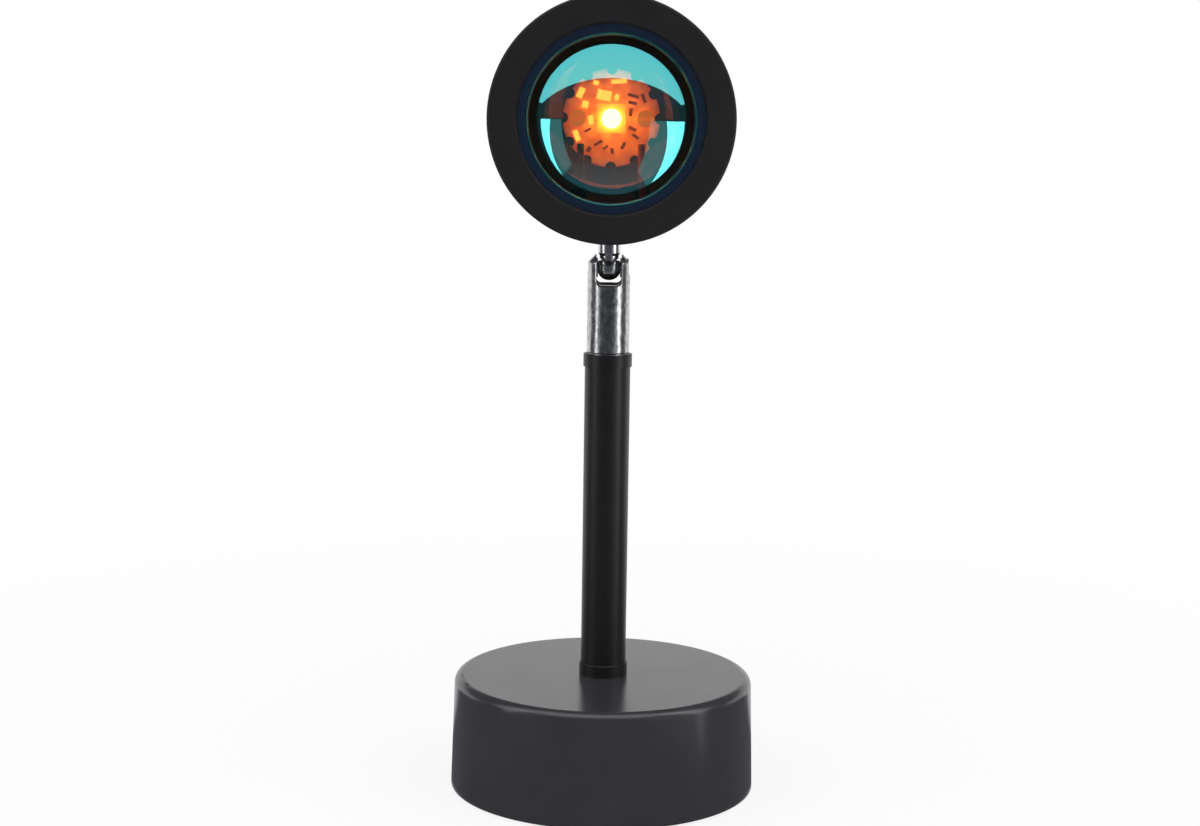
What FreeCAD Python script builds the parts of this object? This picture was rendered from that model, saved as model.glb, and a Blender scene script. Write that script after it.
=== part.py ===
# Sunset projection lamp: a round weighted base, a slim pole, a chrome knuckle that pans and tilts,
# and a short lamp head whose coated glass lens throws a coloured disc of light on a wall.
# Sizes are in millimetres. The origin is on the floor, under the middle of the base. +Z is up and the
# lens looks along -Y. On the head, a depth is measured back along +Y from the bezel's front face.
import FreeCAD
import Part
import math
import os

# ---- clearances ----
thread_clearance = 0.03
running_clearance = 0.05
slip_clearance = 0.2
cutter_overrun = 1.0

# ---- base ----
base_height = 30.5
base_top_radius = 39.7
base_foot_radius = 40.6
base_edge_radius = 2.3
base_wall = 2.0
base_rim_lift = 0.6

pad_thickness = 1.2
pad_margin = 2.6

cover_thickness = 2.0

boss_count = 3
boss_first_angle = 30.0
boss_circle_radius = 22.0
boss_radius = 4.5
boss_tip_radius = 3.0

cover_screw_radius = 1.5
cover_screw_length = 9.0
cover_screw_head_radius = 2.8
screw_slot_width = 0.7
screw_slot_depth = 0.6

weight_thickness = 12.0
weight_gap = 4.2
weight_inner_radius = 13.0
weight_lead_channel = 7.0

# ---- cord gland at the back of the base ----
gland_height = 9.0
gland_bore_radius = 2.0
gland_wall = 1.2
gland_flange_width = 1.2
gland_flange_thickness = 1.0

# ---- pole ----
pole_radius = 6.0
pole_wall = 1.0
pole_length = 85.9
collar_wall = 0.4
collar_height = 3.3
collar_lip = 0.6

nipple_wall = 1.5
nipple_in_pole = 14.0
nipple_tail = 2.0
lock_nut_width = 14.0
lock_nut_thickness = 4.0
lock_washer_radius = 9.0
lock_washer_thickness = 1.2

# ---- swivel at the top of the pole ----
bush_length = 10.0
stud_radius = 3.5
stud_bore_radius = 1.9
stud_end_gap = 0.5
stud_head_radius = 4.35
stud_head_thickness = 1.0
stop_hub_radius = 2.9
stop_height = 1.4
stop_tab_width = 0.8
stop_pin_radius = 0.4
slip_washer_thickness = 0.3
slip_washer_radius = 5.2
spring_washer_thickness = 0.4
ring_nut_length = 4.0

# ---- knuckle ----
barrel_radius = 5.6
barrel_length = 26.0
barrel_wall = 1.0
barrel_cavity_depth = 9.5
barrel_top_bevel = 2.2
barrel_shoulder_round = 1.2
barrel_foot_bevel = 0.3
slot_width = 6.6
slot_depth = 8.0
slot_corner_radius = 1.4
slot_edge_bevel = 0.35
pivot_below_top = 3.7

knuckle_screw_radius = 1.5
knuckle_screw_head_radius = 2.4
knuckle_screw_head_thickness = 1.0
knuckle_screw_sink = 0.5
friction_washer_thickness = 0.4
friction_washer_radius = 2.55

tongue_width = 5.64
tongue_ball_radius = 3.3
tongue_top = 1.95
groove_radius = 2.1
groove_height = 0.4
stem_ring_radius = 2.45
stem_ring_height = 0.8
stem_cone_height = 0.75
stem_radius = 2.95
stem_bore_radius = 1.5
stem_flange_radius = 4.4
stem_flange_thickness = 1.2
stem_spare_thread = 0.8
neck_nut_width = 10.0
neck_nut_thickness = 3.2
neck_washer_radius = 5.0
neck_washer_thickness = 0.8

# ---- lamp head ----
housing_above_pivot = 9.8
neck_depth = 29.5

bezel_length = 14.0
bezel_lip = 3.1
bezel_edge_bevel = 0.5
bezel_skirt_wall = 2.75

lens_seat_step = 1.85
lens_flange_thickness = 2.4
lens_flange_width = 5.2
lens_flange_shown = 2.6
lens_curvature = 28.5
gasket_thickness = 1.0
gasket_width = 2.0

housing_radius = 29.0
housing_wall = 3.0
housing_step = 1.0
neck_nut_room = 1.2
neck_boss_radius = 4.8
neck_boss_height = 0.8
neck_pad_radius = 5.8
neck_pad_height = 1.4

led_setback = 10.8
board_radius = 8.0
board_thickness = 1.6
board_scallops = 12
board_scallop_radius = 0.9
board_screw_radius = 1.0
board_screw_circle = 5.9
board_screw_length = 5.0
board_screw_head_radius = 1.5
board_screw_head_thickness = 1.1
board_screw_slot_width = 0.35
thermal_pad_thickness = 0.4
emitter_width = 5.0
emitter_thickness = 0.9
emitter_dome_radius = 1.7

shroud_thickness = 1.2
shroud_hole_clearance = 0.4
shroud_lead_hole_radius = 1.4

post_radius = 10.5
sink_core_radius = 13.0
sink_spigot_length = 3.5
fin_count = 5
fin_thickness = 1.6
fin_pitch = 3.6
fin_edge_bevel = 0.3
sink_back_thickness = 2.6
sink_rim_width = 5.0
sink_dish_depth = 0.8

set_screw_count = 3
set_screw_radius = 1.25
set_screw_length = 4.0
set_screw_socket = 0.65
set_screw_socket_depth = 1.2

# ---- insulated leads ----
lead_radius = 0.6
lead_spacing = 1.3
lead_gap = 0.3
lead_bend_share = 0.45
gland_lead_run = 6.0
weight_lead_inset = 8.0
stem_lead_rise = 2.4
board_lead_spacing = 10.6
board_lead_start = 4.4
post_lead_gap = 2.5

# ---- heights and depths that follow from the sizes above ----
cover_bottom = pad_thickness
cover_top = cover_bottom + cover_thickness
weight_top = cover_top + weight_thickness
shell_ceiling = base_height - base_wall
lock_nut_top = shell_ceiling - lock_washer_thickness
nipple_radius = pole_radius - pole_wall - thread_clearance
nipple_bottom = lock_nut_top - lock_nut_thickness - nipple_tail

pole_top = base_height + pole_length
collar_top = pole_top + collar_lip
collar_radius = pole_radius + collar_wall
collar_bevel = collar_wall / 3

barrel_bottom = collar_top + slip_washer_thickness
barrel_top = barrel_bottom + barrel_length
barrel_shoulder = barrel_top - barrel_top_bevel
cavity_radius = barrel_radius - barrel_wall
cavity_top = barrel_bottom + barrel_cavity_depth
ring_nut_top = barrel_bottom + ring_nut_length
stud_head_bottom = ring_nut_top + spring_washer_thickness
stud_head_top = stud_head_bottom + stud_head_thickness
stud_bottom = pole_top - bush_length + stud_end_gap
stop_pin_height = stud_head_top + stop_height / 2
slot_floor = barrel_top - slot_depth
pivot_height = barrel_top - pivot_below_top
groove_bottom = pivot_height + tongue_top
stem_ring_bottom = groove_bottom + groove_height
stem_cone_bottom = stem_ring_bottom + stem_ring_height
stem_bore_bottom = stem_cone_bottom + stem_bore_radius

axis_height = pivot_height + housing_above_pivot + housing_radius
neck_boss_bottom = axis_height - housing_radius - neck_boss_height
housing_bore = housing_radius - housing_wall
neck_pad_top = axis_height - housing_bore + neck_pad_height
neck_nut_bottom = neck_pad_top + neck_washer_thickness
neck_nut_top = neck_nut_bottom + neck_nut_thickness
stem_top = neck_nut_top + stem_spare_thread

skirt_bore = housing_radius - housing_step + running_clearance
bezel_radius = skirt_bore + bezel_skirt_wall
lens_seat_bore = skirt_bore - lens_seat_step
lens_flange_radius = lens_seat_bore - slip_clearance
lens_dome_radius = lens_flange_radius - lens_flange_width
bezel_opening_radius = lens_dome_radius + lens_flange_shown
housing_front_bore = lens_flange_radius - gasket_width
lens_flat_depth = bezel_lip + lens_flange_thickness
housing_front_depth = lens_flat_depth + gasket_thickness
neck_reach = max(neck_nut_width / math.sqrt(3), neck_washer_radius, neck_pad_radius)
spigot_front_depth = neck_depth + neck_reach + neck_nut_room
housing_back_depth = spigot_front_depth + sink_spigot_length
dome_sag = lens_curvature - math.sqrt(lens_curvature ** 2 - lens_dome_radius ** 2)
board_front_depth = lens_flat_depth + led_setback
board_back_depth = board_front_depth + board_thickness
post_front_depth = board_back_depth + thermal_pad_thickness
shroud_hole_radius = board_radius + shroud_hole_clearance
shroud_back_depth = post_front_depth + shroud_hole_clearance
shroud_front_depth = shroud_back_depth - shroud_thickness
shroud_lead_drop = math.sqrt((post_radius + lead_radius + post_lead_gap) ** 2
                             - (board_lead_spacing / 2) ** 2)
sink_dish_radius = housing_radius - sink_rim_width
sink_back_depth = housing_back_depth + (fin_count - 1) * fin_pitch + sink_back_thickness
set_screw_depth = housing_back_depth - sink_spigot_length / 2


# ---- shape helpers ----
def rod_z(radius, low, high, x=0.0, y=0.0):
    """An upright round bar."""
    return Part.makeCylinder(radius, high - low, FreeCAD.Vector(x, y, low), FreeCAD.Vector(0, 0, 1))


def rod_x(radius, left, right, y, z):
    """A round bar across the lamp."""
    return Part.makeCylinder(radius, right - left, FreeCAD.Vector(left, y, z), FreeCAD.Vector(1, 0, 0))


def rod_d(radius, front, back, x=0.0, z=0.0):
    """A round bar along the lamp head, between two depths, at x and z from its axis."""
    start = FreeCAD.Vector(x, front - neck_depth, axis_height + z)
    return Part.makeCylinder(radius, back - front, start, FreeCAD.Vector(0, 1, 0))


def block(x0, x1, y0, y1, z0, z1):
    """A box between two corners."""
    return Part.makeBox(x1 - x0, y1 - y0, z1 - z0, FreeCAD.Vector(x0, y0, z0))


def turned_z(outline):
    """A solid turned about the pole's axis from (radius, height) points."""
    points = [FreeCAD.Vector(r, 0, z) for r, z in outline]
    face = Part.Face(Part.makePolygon(points + points[:1]))
    return upright_volume(face.revolve(FreeCAD.Vector(0, 0, 0), FreeCAD.Vector(0, 0, 1), 360))


def turned_d(outline):
    """A solid turned about the lamp head's axis from (depth, radius) points."""
    points = [FreeCAD.Vector(0, d - neck_depth, axis_height + r) for d, r in outline]
    face = Part.Face(Part.makePolygon(points + points[:1]))
    centre = FreeCAD.Vector(0, 0, axis_height)
    return upright_volume(face.revolve(centre, FreeCAD.Vector(0, 1, 0), 360))


def upright_volume(shape):
    """The shape with its faces pointing outwards."""
    return shape.reversed() if shape.Volume < 0 else shape


def hexagon_z(width, low, high):
    """A hexagonal bar by its width across flats, with a flat facing the front."""
    corner = width / math.sqrt(3)
    turns = [math.radians(60 * k) for k in range(6)]
    points = [FreeCAD.Vector(corner * math.cos(t), corner * math.sin(t), low) for t in turns]
    face = Part.Face(Part.makePolygon(points + points[:1]))
    return face.extrude(FreeCAD.Vector(0, 0, high - low))


def circle_edges(shape, radius, place):
    """The full circles of that radius whose centre lies at a place along Y or Z."""
    found = []
    for edge in shape.Edges:
        curve = edge.Curve
        if not isinstance(curve, Part.Circle) or abs(curve.Radius - radius) > 1e-4:
            continue
        along = curve.Center.y if abs(curve.Axis.y) > 0.5 else curve.Center.z
        if abs(along - place) < 1e-4:
            found.append(edge)
    return found


def around(count, first_angle):
    """Evenly spaced angles in degrees."""
    return [first_angle + 360.0 * k / count for k in range(count)]


def polar(radius, angle):
    """The two coordinates of a point at that radius and angle."""
    return radius * math.cos(math.radians(angle)), radius * math.sin(math.radians(angle))


def lead(points, radius):
    """An insulated lead along straight runs joined by tangent arcs, each as wide as its runs allow."""
    corners = [FreeCAD.Vector(*p) for p in points]
    edges = []
    here = corners[0]
    for before, corner, after in zip(corners, corners[1:], corners[2:]):
        back = (before - corner).normalize()
        ahead = (after - corner).normalize()
        half_turn = (math.pi - back.getAngle(ahead)) / 2
        reach = lead_bend_share * min((before - corner).Length, (after - corner).Length)
        bend = reach / math.tan(half_turn)
        start = corner + back * reach
        end = corner + ahead * reach
        inward = (back + ahead).normalize()
        middle = corner + inward * (bend / math.cos(half_turn) - bend)
        edges.append(Part.LineSegment(here, start).toShape())
        edges.append(Part.Arc(start, middle, end).toShape())
        here = end
    edges.append(Part.LineSegment(here, corners[-1]).toShape())
    heading = (corners[1] - corners[0]).normalize()
    section = Part.Wire(Part.Circle(corners[0], heading, radius).toShape())
    return Part.Wire(edges).makePipeShell([section], True, False)


# ---- base pieces ----
def shell_radius(height):
    """The outside of the shell's drafted wall at a height above the floor."""
    share = (height - base_rim_lift) / (base_height - base_rim_lift)
    return base_foot_radius + (base_top_radius - base_foot_radius) * share


def boss_places():
    """Where the cover's screws stand, as x and y."""
    return [polar(boss_circle_radius, a) for a in around(boss_count, boss_first_angle)]


def base_shell_body():
    """The drafted cup with its rounded top edge, before any hole."""
    outside = turned_z([(0, base_rim_lift), (base_foot_radius, base_rim_lift),
                        (base_top_radius, base_height), (0, base_height)])
    outside = outside.makeFillet(base_edge_radius, circle_edges(outside, base_top_radius, base_height))
    ceiling_radius = shell_radius(shell_ceiling) - base_wall
    inside = turned_z([(0, base_rim_lift), (base_foot_radius - base_wall, base_rim_lift),
                       (ceiling_radius, shell_ceiling), (0, shell_ceiling)])
    return outside.cut(inside)


def base_shell():
    """Moulded shell with three screw bosses, a hole for the pole and a hole for the cord gland."""
    shell = base_shell_body()
    for x, y in boss_places():
        shell = shell.fuse(rod_z(boss_radius, weight_top, shell_ceiling, x, y))
        shell = shell.fuse(rod_z(boss_tip_radius, cover_top, weight_top, x, y))
    for x, y in boss_places():
        shell = shell.cut(rod_z(cover_screw_radius, cover_top, cover_bottom + cover_screw_length, x, y))
    shell = shell.cut(rod_z(nipple_radius + slip_clearance, shell_ceiling, base_height))
    return shell.cut(gland_hole()).removeSplitter()


def gland_hole():
    """The round hole through the shell's back wall."""
    reach = base_foot_radius + gland_flange_thickness
    start = FreeCAD.Vector(0, base_foot_radius - 2 * base_wall - gland_flange_thickness, gland_height)
    length = reach - start.y
    return Part.makeCylinder(gland_bore_radius + gland_wall, length, start, FreeCAD.Vector(0, 1, 0))


def gland_ends():
    """The gland's inner and outer faces, as distances behind the pole's axis."""
    wall = shell_radius(gland_height)
    flange = gland_bore_radius + gland_wall + gland_flange_width
    inner_wall = math.sqrt((wall - base_wall) ** 2 - flange ** 2)
    return inner_wall - gland_flange_thickness, wall + gland_flange_thickness


def cord_gland():
    """Rubber grommet whose two flanges follow the curve of the wall between them."""
    inner, outer = gland_ends()
    back = FreeCAD.Vector(0, 1, 0)
    start = FreeCAD.Vector(0, inner, gland_height)
    flange_radius = gland_bore_radius + gland_wall + gland_flange_width
    blank = Part.makeCylinder(flange_radius, outer - inner, start, back)
    blank = blank.makeFillet(gland_flange_thickness / 2, circle_edges(blank, flange_radius, outer))
    blank = blank.cut(base_shell_body().cut(gland_hole()))
    return blank.cut(Part.makeCylinder(gland_bore_radius, outer - inner, start, back))


def base_cover():
    """Round floor plate with countersunk holes, let into the shell's mouth."""
    radius = base_foot_radius - base_wall - slip_clearance
    plate = rod_z(radius, cover_bottom, cover_top)
    for x, y in boss_places():
        plate = plate.cut(rod_z(cover_screw_radius + slip_clearance, cover_bottom, cover_top, x, y))
        plate = plate.cut(screw_cone(x, y))
    return plate


def screw_cone(x, y):
    """The countersunk head of a cover screw, as a cone."""
    height = cover_screw_head_radius - cover_screw_radius
    foot = FreeCAD.Vector(x, y, cover_bottom)
    return Part.makeCone(cover_screw_head_radius, cover_screw_radius, height, foot, FreeCAD.Vector(0, 0, 1))


def cover_screws():
    """Countersunk screws with a slot across the head."""
    screws = []
    for x, y in boss_places():
        screw = screw_cone(x, y).fuse(rod_z(cover_screw_radius, cover_bottom,
                                            cover_bottom + cover_screw_length, x, y))
        slot = block(x - cover_screw_head_radius, x + cover_screw_head_radius,
                     y - screw_slot_width / 2, y + screw_slot_width / 2,
                     cover_bottom, cover_bottom + screw_slot_depth)
        screws.append(screw.cut(slot).removeSplitter())
    return screws


def anti_slip_pad():
    """Foam disc glued over the cover and its screws, which the lamp stands on."""
    return rod_z(base_foot_radius - base_wall - pad_margin, 0, pad_thickness)


def weight_radius():
    """The weight's outside, a gap inside the shell's wall."""
    return shell_radius(weight_top) - base_wall - weight_gap


def base_weight():
    """Cast disc held between the cover and the boss shoulders, with a channel for the leads."""
    disc = rod_z(weight_radius(), cover_top, weight_top).cut(
        rod_z(weight_inner_radius, cover_top, weight_top))
    for x, y in boss_places():
        disc = disc.cut(rod_z(boss_tip_radius + slip_clearance, cover_top, weight_top, x, y))
    return disc.cut(block(-weight_lead_channel / 2, weight_lead_channel / 2,
                          0, weight_radius(), cover_top, weight_top))


# ---- pole pieces ----
def pole_nipple():
    """Threaded tube that ties the pole to the base."""
    top = base_height + nipple_in_pole
    bore = nipple_radius - nipple_wall
    return rod_z(nipple_radius, nipple_bottom, top).cut(rod_z(bore, nipple_bottom, top))


def lock_washer():
    """Wide washer under the shell's top."""
    return rod_z(lock_washer_radius, lock_nut_top, shell_ceiling).cut(
        rod_z(nipple_radius + slip_clearance, lock_nut_top, shell_ceiling))


def lock_nut():
    """Thin hexagon nut that pulls the nipple tight."""
    low = lock_nut_top - lock_nut_thickness
    return hexagon_z(lock_nut_width, low, lock_nut_top).cut(
        rod_z(nipple_radius + thread_clearance, low, lock_nut_top))


def pole_tube():
    """Plain steel tube, tapped at both ends."""
    return rod_z(pole_radius, base_height, pole_top).cut(
        rod_z(pole_radius - pole_wall, base_height, pole_top))


def lower_collar():
    """Ring round the foot of the pole."""
    top = base_height + collar_height
    ring = rod_z(collar_radius, base_height, top).cut(
        rod_z(pole_radius + thread_clearance, base_height, top))
    return ring.makeChamfer(collar_bevel, circle_edges(ring, collar_radius, top))


def upper_collar():
    """Cap ring over the pole's top end, with a hole for the swivel's stud."""
    bottom = collar_top - collar_height
    ring = rod_z(collar_radius, bottom, collar_top)
    ring = ring.makeChamfer(collar_bevel, circle_edges(ring, collar_radius, collar_top))
    ring = ring.cut(rod_z(pole_radius + thread_clearance, bottom, pole_top))
    return ring.cut(rod_z(stud_radius + slip_clearance, pole_top, collar_top))


def pole_bush():
    """Tapped bush inside the top of the pole."""
    bottom = pole_top - bush_length
    return rod_z(pole_radius - pole_wall - thread_clearance, bottom, pole_top).cut(
        rod_z(stud_radius + thread_clearance, bottom, pole_top))


# ---- swivel pieces ----
def swivel_stud():
    """Hollow stud that the knuckle turns on, with a stop tab on its head."""
    shaft = rod_z(stud_radius, stud_bottom, stud_head_bottom)
    head = rod_z(stud_head_radius, stud_head_bottom, stud_head_top)
    hub_top = stud_head_top + stop_height
    hub = rod_z(stop_hub_radius, stud_head_top, hub_top)
    tab = block(-stop_tab_width / 2, stop_tab_width / 2, -stud_head_radius, 0, stud_head_top, hub_top)
    tab = tab.common(rod_z(stud_head_radius, stud_head_top, hub_top))
    stud = shaft.fuse(head).fuse(hub).fuse(tab)
    return stud.cut(rod_z(stud_bore_radius, stud_bottom, hub_top)).removeSplitter()


def slip_washer():
    """Thin washer that the knuckle turns on."""
    return rod_z(slip_washer_radius, collar_top, barrel_bottom).cut(
        rod_z(stud_radius + running_clearance, collar_top, barrel_bottom))


def spring_washer():
    """Washer under the stud's head, whose squeeze gives the swivel its friction."""
    return rod_z(stud_head_radius, ring_nut_top, stud_head_bottom).cut(
        rod_z(stud_radius + running_clearance, ring_nut_top, stud_head_bottom))


def ring_nut():
    """Bearing ring screwed into the knuckle's foot, which holds the stud's head in."""
    return rod_z(cavity_radius - thread_clearance, barrel_bottom, ring_nut_top).cut(
        rod_z(stud_radius + running_clearance, barrel_bottom, ring_nut_top))


def stop_pin():
    """Pin through the knuckle's back wall, which meets the stud's tab at each end of the turn."""
    inner = stop_hub_radius + slip_clearance
    return Part.makeCylinder(stop_pin_radius, barrel_radius - barrel_foot_bevel - inner,
                             FreeCAD.Vector(0, inner, stop_pin_height), FreeCAD.Vector(0, 1, 0))


# ---- knuckle pieces ----
def knuckle_barrel():
    """Chromed barrel, hollow below for the swivel and slotted above for the tongue."""
    barrel = turned_z([(0, barrel_bottom), (barrel_radius, barrel_bottom), (barrel_radius, barrel_shoulder),
                       (barrel_radius - barrel_top_bevel, barrel_top), (0, barrel_top)])
    barrel = barrel.makeFillet(barrel_shoulder_round, circle_edges(barrel, barrel_radius, barrel_shoulder))
    barrel = barrel.makeChamfer(barrel_foot_bevel, circle_edges(barrel, barrel_radius, barrel_bottom))
    barrel = barrel.common(slotted_bar())
    barrel = barrel.cut(rod_z(cavity_radius, barrel_bottom, cavity_top))
    barrel = barrel.cut(rod_z(stud_bore_radius, cavity_top, slot_floor))
    barrel = barrel.cut(rod_x(knuckle_screw_radius + thread_clearance, -barrel_radius, barrel_radius,
                              0, pivot_height))
    seat = barrel_radius - knuckle_screw_sink - knuckle_screw_head_thickness
    barrel = barrel.cut(rod_x(knuckle_screw_head_radius + slip_clearance, seat, barrel_radius,
                              0, pivot_height))
    return barrel.cut(Part.makeCylinder(stop_pin_radius, barrel_radius,
                                        FreeCAD.Vector(0, 0, stop_pin_height), FreeCAD.Vector(0, 1, 0)))


def knuckle_slot():
    """The U-shaped slot through the barrel's top, open at the front and the back."""
    half = slot_width / 2
    slot = block(-half, half, -barrel_radius, barrel_radius, slot_floor, barrel_top)
    corners = [e for e in slot.Edges
               if e.BoundBox.YLength > barrel_radius and e.BoundBox.ZMax < slot_floor + slot_corner_radius]
    return slot.makeFillet(slot_corner_radius, corners)


def slotted_bar():
    """A plain bar with the knuckle's slot and the bevel round the slot's outer edges."""
    bar = rod_z(barrel_radius, barrel_bottom, barrel_top).cut(knuckle_slot())
    rim = []
    for edge in bar.Edges:
        box = edge.BoundBox
        beside_slot = max(abs(box.XMin), abs(box.XMax)) < slot_width / 2 + 1e-3
        on_outside = all(abs(math.hypot(v.X, v.Y) - barrel_radius) < 1e-3 for v in edge.Vertexes)
        if beside_slot and on_outside and box.ZMin > slot_floor - 1e-3:
            rim.append(edge)
    return bar.makeChamfer(slot_edge_bevel, rim)


def knuckle_screw():
    """Shoulder screw across the slot, with its slotted head sunk into one cheek."""
    seat = barrel_radius - knuckle_screw_sink - knuckle_screw_head_thickness
    head_end = seat + knuckle_screw_head_thickness
    tip = barrel_radius - barrel_wall / 2
    screw = rod_x(knuckle_screw_radius, -tip, seat, 0, pivot_height).fuse(
        rod_x(knuckle_screw_head_radius, seat, head_end, 0, pivot_height))
    slot = block(head_end - screw_slot_depth, head_end, -screw_slot_width / 2, screw_slot_width / 2,
                 pivot_height - knuckle_screw_head_radius, pivot_height + knuckle_screw_head_radius)
    return screw.cut(slot).removeSplitter()


def friction_washers():
    """A washer on each side of the tongue."""
    cheek = slot_width / 2
    bore = knuckle_screw_radius + running_clearance
    washers = []
    for inner, outer in ((cheek - friction_washer_thickness, cheek),
                         (-cheek, friction_washer_thickness - cheek)):
        washers.append(rod_x(friction_washer_radius, inner, outer, 0, pivot_height).cut(
            rod_x(bore, inner, outer, 0, pivot_height)))
    return washers


def neck():
    """Turned neck: a flattened ball that tilts in the slot, and a hollow stem that carries the head."""
    ball = Part.makeSphere(tongue_ball_radius, FreeCAD.Vector(0, 0, pivot_height))
    half = tongue_width / 2
    ball = ball.common(block(-half, half, -tongue_ball_radius, tongue_ball_radius,
                             pivot_height - tongue_ball_radius, groove_bottom))
    flange_bottom = neck_boss_bottom - stem_flange_thickness
    stem = turned_z([(0, pivot_height), (groove_radius, pivot_height), (groove_radius, stem_ring_bottom),
                     (stem_ring_radius, stem_ring_bottom), (stem_ring_radius, stem_cone_bottom),
                     (stem_radius, stem_cone_bottom + stem_cone_height), (stem_radius, flange_bottom),
                     (stem_flange_radius, flange_bottom), (stem_flange_radius, neck_boss_bottom),
                     (stem_radius, neck_boss_bottom), (stem_radius, stem_top), (0, stem_top)])
    body = ball.fuse(stem).removeSplitter()
    body = body.cut(rod_x(knuckle_screw_radius + running_clearance, -half, half, 0, pivot_height))
    body = body.cut(rod_z(stem_bore_radius, stem_bore_bottom, stem_top))
    side_hole = Part.makeCylinder(stem_bore_radius, stem_radius,
                                  FreeCAD.Vector(0, 0, stem_bore_bottom), FreeCAD.Vector(0, 1, 0))
    return body.cut(side_hole)


def neck_washer():
    """Washer under the neck's nut, inside the housing."""
    return rod_z(neck_washer_radius, neck_pad_top, neck_nut_bottom).cut(
        rod_z(stem_radius + running_clearance, neck_pad_top, neck_nut_bottom))


def neck_nut():
    """Hexagon nut that holds the head on its neck."""
    return hexagon_z(neck_nut_width, neck_nut_bottom, neck_nut_top).cut(
        rod_z(stem_radius + thread_clearance, neck_nut_bottom, neck_nut_top))


# ---- lamp head pieces ----
def front_bezel():
    """Wide flat ring that screws over the housing and holds the lens in."""
    ring = turned_d([(0, bezel_opening_radius), (0, bezel_radius), (bezel_length, bezel_radius),
                     (bezel_length, skirt_bore), (housing_front_depth, skirt_bore),
                     (housing_front_depth, lens_seat_bore), (bezel_lip, lens_seat_bore),
                     (bezel_lip, bezel_opening_radius)])
    front = -neck_depth
    edges = circle_edges(ring, bezel_radius, front) + circle_edges(ring, bezel_opening_radius, front)
    edges += circle_edges(ring, bezel_radius, front + bezel_length)
    return ring.makeChamfer(bezel_edge_bevel, edges)


def lens():
    """Plano-convex glass: a dome on a flat flange."""
    apex_depth = bezel_lip - dome_sag
    centre = FreeCAD.Vector(0, apex_depth + lens_curvature - neck_depth, axis_height)
    dome = Part.makeSphere(lens_curvature, centre)
    dome = dome.common(rod_d(lens_dome_radius, apex_depth - cutter_overrun, lens_flat_depth))
    flange = rod_d(lens_flange_radius, bezel_lip, lens_flat_depth)
    return dome.fuse(flange).removeSplitter()


def lens_gasket():
    """Flat rubber ring between the lens and the housing."""
    return rod_d(lens_flange_radius, lens_flat_depth, housing_front_depth).cut(
        rod_d(housing_front_bore, lens_flat_depth, housing_front_depth))


def set_screw_places():
    """The set screws' angles round the head's axis; 270 is straight down."""
    return around(set_screw_count, 30.0)


def radial_rod(radius, inner, outer, depth, angle):
    """A round bar pointing away from the head's axis at a depth and an angle."""
    x, z = polar(1.0, angle)
    start = FreeCAD.Vector(x * inner, depth - neck_depth, axis_height + z * inner)
    return Part.makeCylinder(radius, outer - inner, start, FreeCAD.Vector(x, 0, z))


def lamp_housing():
    """Turned barrel with a shoulder for the shroud and a flat boss for the neck."""
    tube = turned_d([(housing_front_depth, housing_front_bore),
                     (housing_front_depth, housing_radius - housing_step),
                     (bezel_length, housing_radius - housing_step), (bezel_length, housing_radius),
                     (housing_back_depth, housing_radius), (housing_back_depth, housing_bore),
                     (shroud_front_depth, housing_bore), (shroud_front_depth, housing_front_bore)])
    pad = rod_z(neck_pad_radius, axis_height - housing_radius + housing_wall / 2, neck_pad_top)
    boss = rod_z(neck_boss_radius, neck_boss_bottom, neck_pad_top)
    tube = tube.fuse(pad).fuse(boss)
    tube = tube.cut(rod_z(stem_radius + running_clearance, neck_boss_bottom, neck_pad_top))
    for angle in set_screw_places():
        tube = tube.cut(radial_rod(set_screw_radius, housing_bore - cutter_overrun,
                                   housing_radius + cutter_overrun, set_screw_depth, angle))
    return tube.removeSplitter()


def shroud():
    """Black disc round the light source, clamped between the housing's shoulder and the sink's post."""
    disc = rod_d(housing_bore - running_clearance, shroud_front_depth, shroud_back_depth).cut(
        rod_d(shroud_hole_radius, shroud_front_depth, shroud_back_depth))
    for side in (-1, 1):
        disc = disc.cut(rod_d(shroud_lead_hole_radius, shroud_front_depth, shroud_back_depth,
                              side * board_lead_spacing / 2, -shroud_lead_drop))
    return disc


def led_board():
    """Round metal-core board with a scalloped rim and two screw holes."""
    board = rod_d(board_radius, board_front_depth, board_back_depth)
    for angle in around(board_scallops, 0.0):
        x, z = polar(board_radius, angle)
        board = board.cut(rod_d(board_scallop_radius, board_front_depth, board_back_depth, x, z))
    for x in (-board_screw_circle, board_screw_circle):
        board = board.cut(rod_d(board_screw_radius + running_clearance, board_front_depth,
                                board_back_depth, x))
    return board


def board_screws():
    """Two pan-head screws that press the board on the sink's post."""
    screws = []
    for x in (-board_screw_circle, board_screw_circle):
        head_front = board_front_depth - board_screw_head_thickness
        screw = rod_d(board_screw_head_radius, head_front, board_front_depth, x).fuse(
            rod_d(board_screw_radius, board_front_depth, board_front_depth + board_screw_length, x))
        y = head_front - neck_depth
        slot = block(x - board_screw_head_radius, x + board_screw_head_radius, y, y + screw_slot_depth,
                     axis_height - board_screw_slot_width / 2, axis_height + board_screw_slot_width / 2)
        screws.append(screw.cut(slot).removeSplitter())
    return screws


def thermal_pad():
    """Soft heat-conducting disc behind the board."""
    pad = rod_d(board_radius - board_scallop_radius, board_back_depth, post_front_depth)
    for x in (-board_screw_circle, board_screw_circle):
        pad = pad.cut(rod_d(board_screw_radius + running_clearance, board_back_depth, post_front_depth, x))
    return pad


def led_emitter():
    """Square package of the light source."""
    half = emitter_width / 2
    y = board_front_depth - neck_depth
    return block(-half, half, y - emitter_thickness, y, axis_height - half, axis_height + half)


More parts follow.
